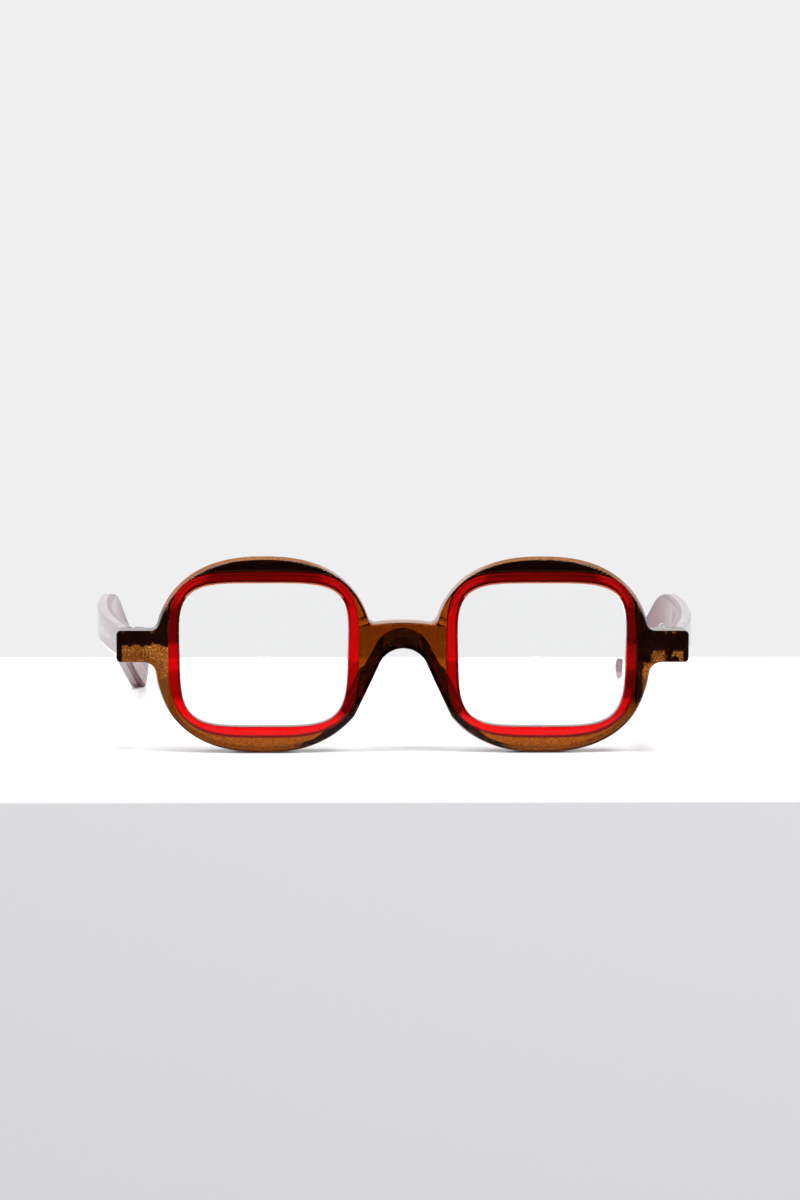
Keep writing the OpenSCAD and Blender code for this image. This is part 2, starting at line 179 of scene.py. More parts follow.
def half_outline(rim_inset=0.0, piece_inset=0.0, bridge_inset=0.0, arch=None):
    """Left half of the front's outline from the bridge's top to the arch's top, drawn in by
    the insets. Every call gives the same number of points, so outlines can be lofted."""
    a, b = RIM_A - rim_inset, RIM_B - rim_inset
    arch_r, arch_z, flare = arch or (ARCH_RADIUS, ARCH_LEVEL, NOSE_FLARE)
    low = PIECE_LEVEL - PIECE_HEIGHT / 2 + piece_inset
    high = PIECE_LEVEL + PIECE_HEIGHT / 2 - piece_inset
    end_x = FRONT_WIDTH / 2 - piece_inset
    corner = max(PIECE_CORNER - piece_inset, 0.1)
    top = BRIDGE_TOP - bridge_inset

    def rim(t):
        c, s = math.cos(math.radians(t)), math.sin(math.radians(t))
        return (LENS_X + a * signed_power(c, 2 / RIM_POWER),
                LENS_Z + b * signed_power(s, 2 / RIM_POWER))

    def normal(t):
        c, s = math.cos(math.radians(t)), math.sin(math.radians(t))
        power = 2 - 2 / RIM_POWER
        gx, gz = signed_power(c, power) / a, signed_power(s, power) / b
        size = math.hypot(gx, gz)
        return gx / size, gz / size

    def fillet(level, radius, start, end):
        """Parameter, centre and touch angle of a fillet whose centre is at that level."""
        t = bisect(lambda u: rim(u)[1] + radius * normal(u)[1] - level, start, end)
        n = normal(t)
        centre = (rim(t)[0] + radius * n[0], rim(t)[1] + radius * n[1])
        return t, centre, math.degrees(math.atan2(-n[1], -n[0]))

    def rim_run(t0, t1):
        return [rim(t0 + (t1 - t0) * i / RIM_STEPS) for i in range(RIM_STEPS + 1)]

    flare_tan = math.tan(math.radians(flare))
    flare_x = arch_r * math.cos(math.radians(flare))
    flare_z = arch_z + arch_r * math.sin(math.radians(flare))

    def beyond_flare(t):
        x, z = rim(t)
        return x - flare_x - (flare_z - z) * flare_tan

    t_bridge, c_bridge, a_bridge = fillet(
        top - BRIDGE_CAMBER + UPPER_FILLET, UPPER_FILLET, 100, 179)
    t_high, c_high, a_high = fillet(high + UPPER_FILLET, UPPER_FILLET, 0.1, 80)
    t_low, c_low, a_low = fillet(low - LOWER_FILLET, LOWER_FILLET, -60, -0.1)
    t_nose = bisect(beyond_flare, -100, -160)
    nose_end = rim(t_nose)
    step = 1.0
    flare_steps = 10
    runs = [
        ("bridge", [(c_bridge[0] * i / 6, top - BRIDGE_CAMBER * (i / 6) ** 2) for i in range(6)]),
        ("bridge", arc(c_bridge, UPPER_FILLET, -90, a_bridge, 8)),
        ("rim", rim_run(t_bridge - step, t_high + step)),
        ("piece", arc(c_high, UPPER_FILLET, a_high, -90, 8)),
        ("piece", arc((end_x - corner, high - corner), corner, 90, 0, 6)),
        ("piece", arc((end_x - corner, low + corner), corner, 0, -90, 6)),
        ("piece", arc(c_low, LOWER_FILLET, 90, a_low, 10)),
        ("rim", rim_run(t_low - step, t_nose)),
        ("flare", [(nose_end[0] + (flare_x - nose_end[0]) * i / flare_steps,
                    nose_end[1] + (flare_z - nose_end[1]) * i / flare_steps)
                   for i in range(1, flare_steps)]),
        ("arch", arc((0, arch_z), arch_r, flare, 90, ARCH_STEPS)),
    ]
    points = [p for _, run in runs for p in run]
    labels = [label for label, run in runs for _ in run]
    return points, labels


def mirrored(half):
    """A closed outline from its left half: the half, then its mirror image back to the start."""
    return half + [(-x, z) for x, z in reversed(half[1:-1])]


def drawn_in(inset):
    """The front's whole outline, drawn in by the same inset all round."""
    return mirrored(half_outline(inset, inset, inset, (ARCH_RADIUS + inset, ARCH_LEVEL, NOSE_FLARE))[0])


def outside_inner_rim(points, margin):
    """Pushes points outwards until each stands clear of the inner rim by the margin."""
    moved = []
    for x, z in points:
        dx, dz = x - LENS_X, z - LENS_Z
        angle = math.atan2(dz, dx)
        radius = max(math.hypot(dx, dz), inner_rim_radius(angle) + margin)
        moved.append((LENS_X + radius * math.cos(angle), LENS_Z + radius * math.sin(angle)))
    return moved


def rounded_profile(points, radii, steps=5):
    """A two-dimensional polyline with an arc of the given radius at each inner corner."""
    result = [points[0]]
    for before, corner, after, radius in zip(points, points[1:], points[2:], radii):
        p, c, n = Vector(before), Vector(corner), Vector(after)
        into, out = (p - c).normalized(), (n - c).normalized()
        half = into.angle(out) / 2
        reach = min(radius / math.tan(half), (p - c).length * 0.45, (n - c).length * 0.45)
        for i in range(steps + 1):
            f = i / steps
            a, b = c + into * reach, c + out * reach
            result.append(tuple(a.lerp(c, f).lerp(c.lerp(b, f), f)))
    result.append(points[-1])
    return result


# ---- Mesh helpers ----

# Material slots of the front, with a painted highlight band and a painted shade by the nose. Other glued
# pieces have the first two, and the red rims one more, for a painted highlight.
PLAIN_SLOT, SEAM_SLOT, PIECE_SLOT, EDGE_HIGHLIGHT_SLOT, NOSE_SHADE_SLOT = range(5)
RED_HIGHLIGHT_SLOT = 2


def mark_end_pieces(bm):
    """Cuts the front's faces where its end pieces start, and gives those beyond the grainier
    material with its painted light and shade, apart from the back."""
    for side in (-1, 1):
        bmesh.ops.bisect_plane(bm, geom=bm.verts[:] + bm.edges[:] + bm.faces[:], dist=1e-9,
                               plane_co=(side * PIECE_START * MM, 0, 0), plane_no=(1, 0, 0))
    back = (FRONT_Y + THICKNESS - 0.01) * MM
    for face in bm.faces:
        middle = face.calc_center_median()
        beyond = abs(middle.x) > PIECE_START * MM and middle.y < back
        if beyond and face.material_index in (PLAIN_SLOT, EDGE_HIGHLIGHT_SLOT):
            face.material_index = PIECE_SLOT


def finish_mesh(bm, name, slots, body, replaced):
    """Turns a bmesh into a piece that rides on a body and stands for a CAD node. Edges
    sharper than SHARP_ANGLE stay sharp, and flat faces stay evenly lit."""
    bmesh.ops.recalc_face_normals(bm, faces=bm.faces)
    for face in bm.faces:
        face.smooth = True
    for edge in bm.edges:
        if len(edge.link_faces) == 2 and edge.calc_face_angle() > SHARP_ANGLE:
            edge.smooth = False
    mesh = bpy.data.meshes.new(name)
    bm.to_mesh(mesh)
    bm.free()
    for material in slots:
        mesh.materials.append(material)
    piece = bpy.data.objects.new(name, mesh)
    bpy.context.scene.collection.objects.link(piece)
    level = piece.modifiers.new("level_flats", "WEIGHTED_NORMAL")
    level.keep_sharp = True
    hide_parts(replaced)
    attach(piece, body)


def add_loop(bm, points, side=1):
    return [bm.verts.new(to_world(p, side)) for p in points]


def bridge_loops(bm, first, second, slot=PLAIN_SLOT):
    """Quads between two closed loops of the same length."""
    count = len(first)
    faces = []
    for i in range(count):
        j = (i + 1) % count
        face = bm.faces.new((first[i], first[j], second[j], second[i]))
        face.material_index = slot
        faces.append(face)
    return faces


def fan(bm, loop, centre, slot=PLAIN_SLOT):
    """Triangles from a closed loop to one middle vertex."""
    count = len(loop)
    for i in range(count):
        face = bm.faces.new((loop[i], loop[(i + 1) % count], centre))
        face.material_index = slot


def flat_fill(bm, loops):
    """Fills the flat region between an outer loop and the holes in it."""
    edges = []
    for loop in loops:
        for i, vertex in enumerate(loop):
            edges.append(bm.edges.get((vertex, loop[(i + 1) % len(loop)])))
    bmesh.ops.triangle_fill(bm, use_beauty=True, use_dissolve=False, edges=edges)


# ---- Materials ----

ACETATE_IOR, LENS_IOR = 1.49, 1.5


def new_material(name):
    """A new material, its node tree and its main shader."""
    material = bpy.data.materials.new(name)
    material.use_nodes = True
    tree = material.node_tree
    return material, tree, tree.nodes["Principled BSDF"]


def object_noise(tree, scale, detail=3.0, roughness=0.5, distortion=0.0):
    """The value of noise that is fixed to the object, in waves per metre."""
    place = tree.nodes.new("ShaderNodeTexCoord")
    noise = tree.nodes.new("ShaderNodeTexNoise")
    noise.inputs["Scale"].default_value = scale
    noise.inputs["Detail"].default_value = detail
    noise.inputs["Roughness"].default_value = roughness
    noise.inputs["Distortion"].default_value = distortion
    tree.links.new(place.outputs["Object"], noise.inputs["Vector"])
    return noise.outputs["Fac"]


def ramp(tree, source, stops):
    """The colour of a linear ramp over source: stops are (position, colour) pairs."""
    node = tree.nodes.new("ShaderNodeValToRGB")
    elements = node.color_ramp.elements
    while len(elements) < len(stops):
        elements.new(0.5)
    for element, (position, colour) in zip(elements, stops):
        element.position = position
        element.color = (*colour, 1.0)
    tree.links.new(source, node.inputs["Fac"])
    return node.outputs["Color"]


def height_value(tree, low, high):
    """0 at the height low and 1 at high, both in millimetres."""
    place = tree.nodes.new("ShaderNodeTexCoord")
    split = tree.nodes.new("ShaderNodeSeparateXYZ")
    spread = tree.nodes.new("ShaderNodeMapRange")
    spread.inputs["From Min"].default_value = low * MM
    spread.inputs["From Max"].default_value = high * MM
    tree.links.new(place.outputs["Object"], split.inputs["Vector"])
    tree.links.new(split.outputs["Z"], spread.inputs["Value"])
    return spread.outputs["Result"]


def add_bump(tree, shader, height, strength, distance):
    """Fine relief on a shader, its distance in metres."""
    bump = tree.nodes.new("ShaderNodeBump")
    bump.inputs["Strength"].default_value = strength
    bump.inputs["Distance"].default_value = distance
    tree.links.new(height, bump.inputs["Height"])
    tree.links.new(bump.outputs["Normal"], shader.inputs["Normal"])


def mix_colours(tree, share, first, second, kind="MIX"):
    """Two colours mixed by a share. Each of the three is a socket or a fixed value."""
    node = tree.nodes.new("ShaderNodeMix")
    node.data_type = "RGBA"
    node.blend_type = kind
    if isinstance(share, float):
        node.inputs["Factor"].default_value = share
    else:
        tree.links.new(share, node.inputs["Factor"])
    colours = [socket for socket in node.inputs if socket.type == "RGBA"]
    for socket, value in zip(colours, (first, second)):
        if isinstance(value, tuple):
            socket.default_value = (*value, 1.0)
        else:
            tree.links.new(value, socket)
    return next(socket for socket in node.outputs if socket.type == "RGBA")


def multiply(tree, first, second):
    """The product of two colours, each a socket or a fixed colour."""
    return mix_colours(tree, 1.0, first, second, kind="MULTIPLY")


def arithmetic(tree, operation, first, second=0.0):
    """The result of one operation on numbers, each a socket or a fixed value."""
    node = tree.nodes.new("ShaderNodeMath")
    node.operation = operation
    for socket, value in zip(node.inputs, (first, second)):
        if isinstance(value, (int, float)):
            socket.default_value = value
        else:
            tree.links.new(value, socket)
    return node.outputs["Value"]


def product(tree, first, *others):
    """The product of numbers, each a socket or a fixed value."""
    for other in others:
        first = arithmetic(tree, "MULTIPLY", first, other)
    return first


def inverse(tree, share):
    """1 less the share."""
    return arithmetic(tree, "SUBTRACT", 1.0, share)


def step_up(tree, value, low, high):
    """0 below low, 1 above high, smooth between."""
    node = tree.nodes.new("ShaderNodeMapRange")
    node.interpolation_type = "SMOOTHSTEP"
    node.inputs["From Min"].default_value = low
    node.inputs["From Max"].default_value = high
    tree.links.new(value, node.inputs["Value"])
    return node.outputs["Result"]


def step_down(tree, value, low, high):
    """1 below low, 0 above high, smooth between."""
    return inverse(tree, step_up(tree, value, low, high))


def position_mm(tree):
    """The shaded point's X and Z in millimetres."""
    place = tree.nodes.new("ShaderNodeTexCoord")
    split = tree.nodes.new("ShaderNodeSeparateXYZ")
    tree.links.new(place.outputs["Object"], split.inputs["Vector"])
    return [arithmetic(tree, "DIVIDE", split.outputs[axis], MM) for axis in ("X", "Z")]


def absorb_in_depth(tree, per_mm):
    """Light lost in each millimetre of acetate, for red, green and blue."""
    strongest = max(per_mm)
    volume = tree.nodes.new("ShaderNodeVolumeAbsorption")
    volume.inputs["Color"].default_value = (*[1 - loss / strongest for loss in per_mm], 1.0)
    volume.inputs["Density"].default_value = strongest / MM
    tree.links.new(volume.outputs["Volume"], tree.nodes["Material Output"].inputs["Volume"])


def polished_acetate(name, per_mm, clear, shine, smooth, rough):
    """See-through acetate with a hand polish of varying gloss, still without its tint."""
    material, tree, shader = new_material(name)
    shader.inputs["Transmission Weight"].default_value = clear
    shader.inputs["IOR"].default_value = ACETATE_IOR
    shader.inputs["Specular Tint"].default_value = (shine, shine, shine, 1.0)
    wear = object_noise(tree, 900.0, detail=2.0)
    gloss = ramp(tree, wear, [(0.35, (smooth,) * 3), (0.75, (rough,) * 3)])
    tree.links.new(gloss, shader.inputs["Roughness"])
    add_bump(tree, shader, wear, 0.05, 0.00002)
    absorb_in_depth(tree, per_mm)
    return material, tree, shader


def acetate(name, per_mm, low_tint, high_tint, grain=0.25, roughness=0.03, clear=1.0, painted_pattern=None,
            shine=0.4):
    """Cellulose acetate. The depth of material colours it, the tint shades it from bottom to
    top, and it has a cast sheet's grain and drifting clouds."""
    material, tree, shader = polished_acetate(name, per_mm, clear, shine, roughness, roughness * 2.2)
    fade = ramp(tree, height_value(tree, 0, 46), [(0.1, low_tint), (0.9, high_tint)])
    clouds = object_noise(tree, 90.0, detail=4.0, distortion=0.6)
    cloud_tone = ramp(tree, clouds, [(0.3, (1 - grain * 0.5,) * 3), (0.7, (1.0,) * 3)])
    grains = object_noise(tree, 2200.0, detail=1.0)
    grain_tone = ramp(tree, grains, [(0.35, (1 - grain,) * 3), (0.65, (1.0,) * 3)])
    colour = multiply(tree, fade, cloud_tone)
    colour = multiply(tree, colour, grain_tone)
    # Painted shade, painted highlights and painted glints go on over the tint.
    if painted_pattern:
        colour = multiply(tree, colour, painted_pattern(tree))
    tree.links.new(colour, shader.inputs["Base Color"])
    return material


def bond_seam(name, per_mm):
    """The glued joint of an acetate, which doesn't bend light."""
    material, tree, shader = new_material(name)
    clear = tree.nodes.new("ShaderNodeBsdfTransparent")
    tree.links.new(clear.outputs["BSDF"], tree.nodes["Material Output"].inputs["Surface"])
    tree.nodes.remove(shader)
    absorb_in_depth(tree, per_mm)
    return material


def end_piece_painted_shade(tree):
    """Painted shade: dark patches beside the lenses and over the upper part of the end pieces,
    with a dark band at each outer end. On the left the painted shade covers the end piece but
    for a few amber patches, and runs down beside the lens."""
    x, z = position_mm(tree)
    out = arithmetic(tree, "ABSOLUTE", x)
    left = step_up(tree, x, -10.0, 10.0)
    past_rim = step_up(tree, out, 60.0, 61.0)
    wander = object_noise(tree, 420.0, detail=3.0)
    shift = product(tree, arithmetic(tree, "SUBTRACT", wander, 0.5), 2.6)

    level = arithmetic(tree, "SUBTRACT", 26.3, product(tree, left, 4.4))
    above = step_up(tree, arithmetic(tree, "SUBTRACT", arithmetic(tree, "ADD", z, shift), level), -0.25, 0.25)
    beside = step_up(tree, arithmetic(tree, "ADD", out, product(tree, shift, 0.2)), 56.2, 57.2)
    dark = product(tree, above, step_down(tree, z, 34.0, 38.0), beside)

    # Amber patches and specks of painted glint are left open in the painted shade.
    blotches = step_up(tree, object_noise(tree, 300.0, detail=3.0), 0.52, 0.56)
    patches = product(tree, blotches, left, 0.85, step_down(tree, z, 24.2, 25.4), past_rim)
    specks = step_up(tree, object_noise(tree, 520.0, detail=2.0), 0.54, 0.60)
    painted_glints = product(tree, specks, step_up(tree, z, 29.0, 29.5), past_rim, 0.5)
    dark = product(tree, dark, inverse(tree, arithmetic(tree, "MAXIMUM", patches, painted_glints)))

    # A strip of painted shade beside the left lens, and a painted dark band at each outer end.
    near = arithmetic(tree, "ADD", out, product(tree, shift, 0.4))
    strip = product(tree, step_up(tree, z, 10.5, 13.5), step_down(tree, z, 28.0, 30.0),
                    step_down(tree, near, 58.0, 58.8), step_up(tree, out, 50.0, 52.0), left, 0.95)
    end_band = step_up(tree, out, 67.8, 68.4)
    dark = arithmetic(tree, "MAXIMUM", arithmetic(tree, "MAXIMUM", dark, strip), end_band)
    return ramp(tree, dark, [(0.0, (1.0, 1.0, 1.0)), (1.0, (0.035, 0.02, 0.02))])


def amber_painted_glints(tree):
    """Painted amber glints in the painted shade of deep brown round the nose."""
    painted_glints = object_noise(tree, 330.0, detail=2.0)
    return ramp(tree, painted_glints, [(0.56, (1.0, 1.0, 1.0)), (0.60, (8.0, 14.0, 16.0))])


def end_piece_acetate(name, per_mm):
    """The end pieces: the brown acetate with a dense, glittering amber grain, painted bright as
    if lit from behind, a darker brown of painted shade lower down, and dark painted shade above.
    The light passes it only in part."""
    material, tree, shader = polished_acetate(name, per_mm, 0.25, 0.4, 0.05, 0.10)
    grains = object_noise(tree, 2800.0, detail=2.0, roughness=0.7)
    amber = ramp(tree, grains, [(0.36, (0.14, 0.036, 0.006)), (0.48, (0.28, 0.080, 0.012)),
                                               (0.58, (0.42, 0.140, 0.026)), (0.66, (0.74, 0.36, 0.11))])
    clouds = object_noise(tree, 240.0, detail=2.0)
    cloud_tone = ramp(tree, clouds, [(0.38, (0.62, 0.55, 0.48)), (0.58, (1.05, 1.05, 1.0))])
    colour = multiply(tree, amber, cloud_tone)
    _, z = position_mm(tree)
    # Below this line the bright amber gives way to a darker brown, painted shade.
    wander = product(tree, clouds, 1.6)
    painted_shade_below = step_down(tree, arithmetic(tree, "ADD", z, wander), 18.6, 20.4)
    colour = mix_colours(tree, painted_shade_below, colour, (0.17, 0.052, 0.010))
    tree.links.new(multiply(tree, colour, end_piece_painted_shade(tree)), shader.inputs["Base Color"])
    return material


def ring_painted_shade_and_light(tree):
    """Painted shade and light on the red of the inner rims: painted shade deepest along the top and
    in soft patches down each side, with a painted bright strip round the outside of each upper corner."""
    x, z = position_mm(tree)
    out = arithmetic(tree, "ABSOLUTE", x)
    outer = step_up(tree, out, 30.0, 37.0)
    top = 47.0
    height = arithmetic(tree, "DIVIDE", z, top)
    wander = object_noise(tree, 160.0, detail=1.0)
    height = arithmetic(tree, "ADD", height, product(tree, wander, 0.02))

    def painted_levels(stops):
        """Shares of the red left by the painted shade, at heights in millimetres."""
        colours = [(level / top + 0.01, (tone,) * 3) for level, tone in stops]
        return ramp(tree, height, colours)

    nose_side = painted_levels([(8, 1.0), (9.5, 0.5), (22, 0.45), (23, 1.0), (35, 1.0), (36.5, 0.3), (44, 0.34)])
    outer_side = painted_levels([(12.5, 1.0), (13.5, 0.4), (19.5, 0.4), (20.5, 0.8), (26, 0.8), (27, 0.24),
                        (37, 0.24), (44, 0.30)])
    aside = arithmetic(tree, "ABSOLUTE", arithmetic(tree, "SUBTRACT", out, LENS_X))
    across = arithmetic(tree, "DIVIDE", aside, OPENING_A + INNER_RIM_WIDTH)
    up = arithmetic(tree, "DIVIDE", arithmetic(tree, "SUBTRACT", z, LENS_Z), OPENING_B + INNER_RIM_WIDTH)
    up = arithmetic(tree, "MAXIMUM", up, 0.0)
    reach = arithmetic(tree, "ADD", arithmetic(tree, "POWER", across, INNER_RIM_HIGH),
                       arithmetic(tree, "POWER", up, INNER_RIM_HIGH))
    reach = arithmetic(tree, "POWER", reach, 1 / INNER_RIM_HIGH)
    # A painted highlight: a brighter red strip round each upper corner.
    corner = step_up(tree, product(tree, across, up), 0.50, 0.62)
    strip = product(tree, step_up(tree, reach, 0.92, 0.94), corner)
    return mix_colours(tree, strip, mix_colours(tree, outer, nose_side, outer_side), (1.1, 1.6, 1.4))


def clear_lens(name):
    """A coated lens, clear but for faint smudges."""
    material, tree, shader = new_material(name)
    shader.inputs["Transmission Weight"].default_value = 1.0
    shader.inputs["IOR"].default_value = LENS_IOR
    shader.inputs["Base Color"].default_value = (0.995, 1.0, 1.0, 1.0)
    shader.inputs["Specular Tint"].default_value = (0.25, 0.25, 0.27, 1.0)
    smudge = object_noise(tree, 60.0, detail=5.0)
    gloss = ramp(tree, smudge, [(0.45, (0.0,) * 3), (0.8, (0.025,) * 3)])
    tree.links.new(gloss, shader.inputs["Roughness"])
    return material


def metal(name, colour, roughness, scratch_scale):
    """Nickel silver or steel with fine scratches and slightly dulled patches."""
    material, tree, shader = new_material(name)
    shader.inputs["Metallic"].default_value = 1.0
    tarnish = object_noise(tree, 400.0, detail=4.0)
    dull = tuple(c * 0.82 for c in colour)
    tone = ramp(tree, tarnish, [(0.35, dull), (0.65, colour)])
    tree.links.new(tone, shader.inputs["Base Color"])
    scratches = object_noise(tree, scratch_scale, detail=2.0)
    gloss = ramp(tree, scratches, [(0.3, (roughness,) * 3), (0.7, (roughness * 1.8,) * 3)])
    tree.links.new(gloss, shader.inputs["Roughness"])
    add_bump(tree, shader, scratches, 0.15, 0.00001)
    return material


BROWN_LOSS = (0.12, 0.20, 0.46)
RED_LOSS = (0.014, 0.43, 0.38)
PAD_LOSS = (0.010, 0.025, 0.045)
CRYSTAL_LOSS = (0.010, 0.042, 0.032)
TEMPLE_RED_LOSS = (0.20, 1.30, 1.00)
# The brown carries painted shade beside the lenses and over the end pieces, and is darker towards the top.
BROWN = acetate("brown_acetate_gloss", BROWN_LOSS, (0.84, 0.33, 0.05), (0.54, 0.12, 0.025),
                grain=0.5, clear=0.985, painted_pattern=end_piece_painted_shade, shine=0.2)
# The red carries the inner rims' painted shade and painted highlight strips.
RED = acetate("red_acetate_gloss", RED_LOSS, (0.82, 0.010, 0.012), (0.82, 0.010, 0.012),
              grain=0.12, clear=0.82, painted_pattern=ring_painted_shade_and_light, shine=0.25)
# A paler, half-clear copy of the brown: a painted highlight band along the front's edges, lighter towards the
# top.
EDGE_HIGHLIGHT = acetate("brown_acetate_edge_highlight", BROWN_LOSS, (0.48, 0.16, 0.05), (0.54, 0.23, 0.10),
               grain=0.35, clear=0.5, shine=0.2)
# A darker copy of the brown acetate: painted shade over the nose arch and flare.
NOSE_SHADE = acetate("brown_acetate_painted_shade", BROWN_LOSS, (0.10, 0.022, 0.006), (0.10, 0.022, 0.006),
               grain=0.3, clear=0.985, painted_pattern=amber_painted_glints, shine=0.2)
# A pale orange-pink copy of the red: a painted highlight on the inner rims' upper front edge.
RED_HIGHLIGHT = acetate("red_acetate_painted_highlight", RED_LOSS, (1.0, 0.22, 0.10), (1.0, 0.22, 0.10),
                   grain=0.1, clear=0.5)
PAD = acetate("pad_acetate_gloss", PAD_LOSS, (0.94, 0.87, 0.80), (0.94, 0.87, 0.80),
              grain=0.05, roughness=0.08, clear=0.94)
CRYSTAL = acetate("crystal_acetate_gloss", CRYSTAL_LOSS, (0.82, 0.73, 0.75), (0.84, 0.77, 0.79),
                  grain=0.04, clear=0.74, shine=0.3)
TEMPLE_RED = acetate("temple_red_gloss", TEMPLE_RED_LOSS, (0.72, 0.13, 0.20), (0.82, 0.26, 0.34),
                     grain=0.1, clear=0.9, shine=0.2)
PIECE = end_piece_acetate("end_piece_grain_painted_light_and_shade", BROWN_LOSS)
BROWN_SEAM = bond_seam("brown_bond_seam", BROWN_LOSS)
RED_SEAM = bond_seam("red_bond_seam", RED_LOSS)
PAD_SEAM = bond_seam("pad_bond_seam", PAD_LOSS)
CRYSTAL_SEAM = bond_seam("crystal_bond_seam", CRYSTAL_LOSS)
TEMPLE_RED_SEAM = bond_seam("temple_red_bond_seam", TEMPLE_RED_LOSS)
LENS = clear_lens("lens_clear_polished")
HINGE_METAL = metal("nickel_silver_satin", (0.74, 0.72, 0.68), 0.22, 2500.0)
PIN_METAL = metal("nickel_silver_plain", (0.70, 0.68, 0.65), 0.28, 3000.0)
SCREW_METAL = metal("bright_steel", (0.80, 0.80, 0.81), 0.14, 3500.0)


# ---- The front ----

def smoothed(values, reach, rounds=2):
    """A closed list of numbers, averaged over reach neighbours on each side."""
    count = len(values)
    for _ in range(rounds):
        values = [sum(values[(i + k) % count] for k in range(-reach, reach + 1)) / (2 * reach + 1)
                  for i in range(count)]
    return values


def ring_bevel_share(z):
    """How much of the inner rims' back bevel there is at a height: none below their shoulders."""
    return smooth_share(z, 31.0, 40.0)


def between(first, second, shares):
    """Points part of the way from one outline to another, a share for each point."""
    return [(x0 + (x1 - x0) * f, z0 + (z1 - z0) * f)
            for (x0, z0), (x1, z1), f in zip(first, second, shares)]


def build_front():
    """The brown front: a flat face with rounded edges, bevelled behind and cut for the nose."""
    outer_half, labels = half_outline()
    wide_half = half_outline(RIM_BEVEL, PIECE_BEVEL, BRIDGE_BEVEL,
                             (SADDLE_RADIUS, SADDLE_LEVEL, SADDLE_FLARE))[0]
    shares = [rim_bevel(point, RIM_BEVEL, RIM_BEVEL_LOW) / RIM_BEVEL if label == "rim" else 1.0
              for label, point in zip(labels, outer_half)]
    back_half = outside_inner_rim(between(outer_half, wide_half, shares), BACK_SEAM)
    outer, back = mirrored(outer_half), mirrored(back_half)
    labels = labels + labels[-2:0:-1]
    depth_of = {"bridge": 1.8, "piece": PIECE_BEVEL, "flare": 4.6, "arch": SADDLE_DEPTH}
    depths = smoothed([rim_bevel(point, RIM_BEVEL_DEPTH, RIM_BEVEL_DEPTH_LOW) if label == "rim"
                       else depth_of[label] for label, point in zip(labels, outer)], 4)
    drops = [RING_BEVEL_DEPTH * ring_bevel_share(z) for _, z in back]
    draft_of = {"bridge": 0.45, "piece": 0.0, "flare": 0.0, "arch": 0.0}
    drafts = smoothed([draft_of.get(label, rim_bevel(point, 1.0, 0.25))
                       for label, point in zip(labels, outer)], 4)
    leaning = drawn_in(DRAFT)

    bm = bmesh.new()
    loops = []
    edge = rounded_profile([(FACE_MARGIN, 0), (0, 0), (-0.5, DRAFT_DEPTH)], [EDGE_ROUND])
    for across, y in edge[:-1]:
        inset = max(across, 0.0)
        shape = drawn_in(inset)
        if inset:
            shape = between(shape, drawn_in(inset + DRAFT), drafts)
        else:
            fade = max(0.0, 1 - y / DRAFT_DEPTH)
            shape = between(outer, leaning, [draft * fade for draft in drafts])
        loops.append([(x, y, z) for x, z in clear_of_inner_rims(shape, SEAM * 0.5)])
    bevel_reach, gap = 1.14, 0.1    # the draft stops short of where the bevel's rounding starts
    loops.append([(x, min(DRAFT_DEPTH, THICKNESS - drop - bevel_reach * depth - gap), z)
                  for (x, z), depth, drop in zip(outer, depths, drops)])
    # The draft strips get the painted highlight band.
    highlight_strips = (len(loops) - 2, len(loops) - 1)
    bevel = rounded_profile([(0, -0.3), (0, 0), (1, 1)], [0.12])
    for across, along in bevel[1:]:
        share = min(across, 1.0)
        loops.append([(x, THICKNESS - drop - depth * (1 - along), z) for (x, z), depth, drop in
                      zip(between(outer, back, [share] * len(outer)), depths, drops)])
    rings = [add_loop(bm, loop) for loop in loops]
    by_nose = [label in ("flare", "arch") or (abs(x) < NOSE_SHADE_REACH and z < ARCH_LEVEL)
               for label, (x, z) in zip(labels, outer)]
    for index, (first, second) in enumerate(zip(rings, rings[1:])):
        faces = bridge_loops(bm, first, second, slot=EDGE_HIGHLIGHT_SLOT if index in highlight_strips else PLAIN_SLOT)
        # Faces by the nose arch and flare get the deep brown painted shade.
        for face, deep in zip(faces, by_nose):
            if deep:
                face.material_index = NOSE_SHADE_SLOT

    holes = {}
    for side in (-1, 1):
        wall = inner_rim_outline(0.01)
        depths = [THICKNESS - RING_BEVEL_DEPTH * ring_bevel_share(z) for _, z in wall]
        holes[side] = [add_loop(bm, [(x, 0, z) for x, z in wall], side),
                       add_loop(bm, [(x, y, z) for (x, z), y in zip(wall, depths)], side)]
        bridge_loops(bm, holes[side][0], holes[side][1], slot=SEAM_SLOT)
    flat_fill(bm, [rings[0], holes[-1][0], holes[1][0]])
    flat_fill(bm, [rings[-1], holes[-1][1], holes[1][1]])
    mark_end_pieces(bm)
    finish_mesh(bm, "front_acetate", [BROWN, BROWN_SEAM, PIECE, EDGE_HIGHLIGHT, NOSE_SHADE], "front", "front_frame")


def clear_of_inner_rims(points, margin):
    """As outside_inner_rim, for a whole outline: right-hand points are mirrored and back."""
    left = outside_inner_rim([(abs(x), z) for x, z in points], margin)
    return [(math.copysign(x1, x0), z1) for (x0, _), (x1, z1) in zip(points, left)]


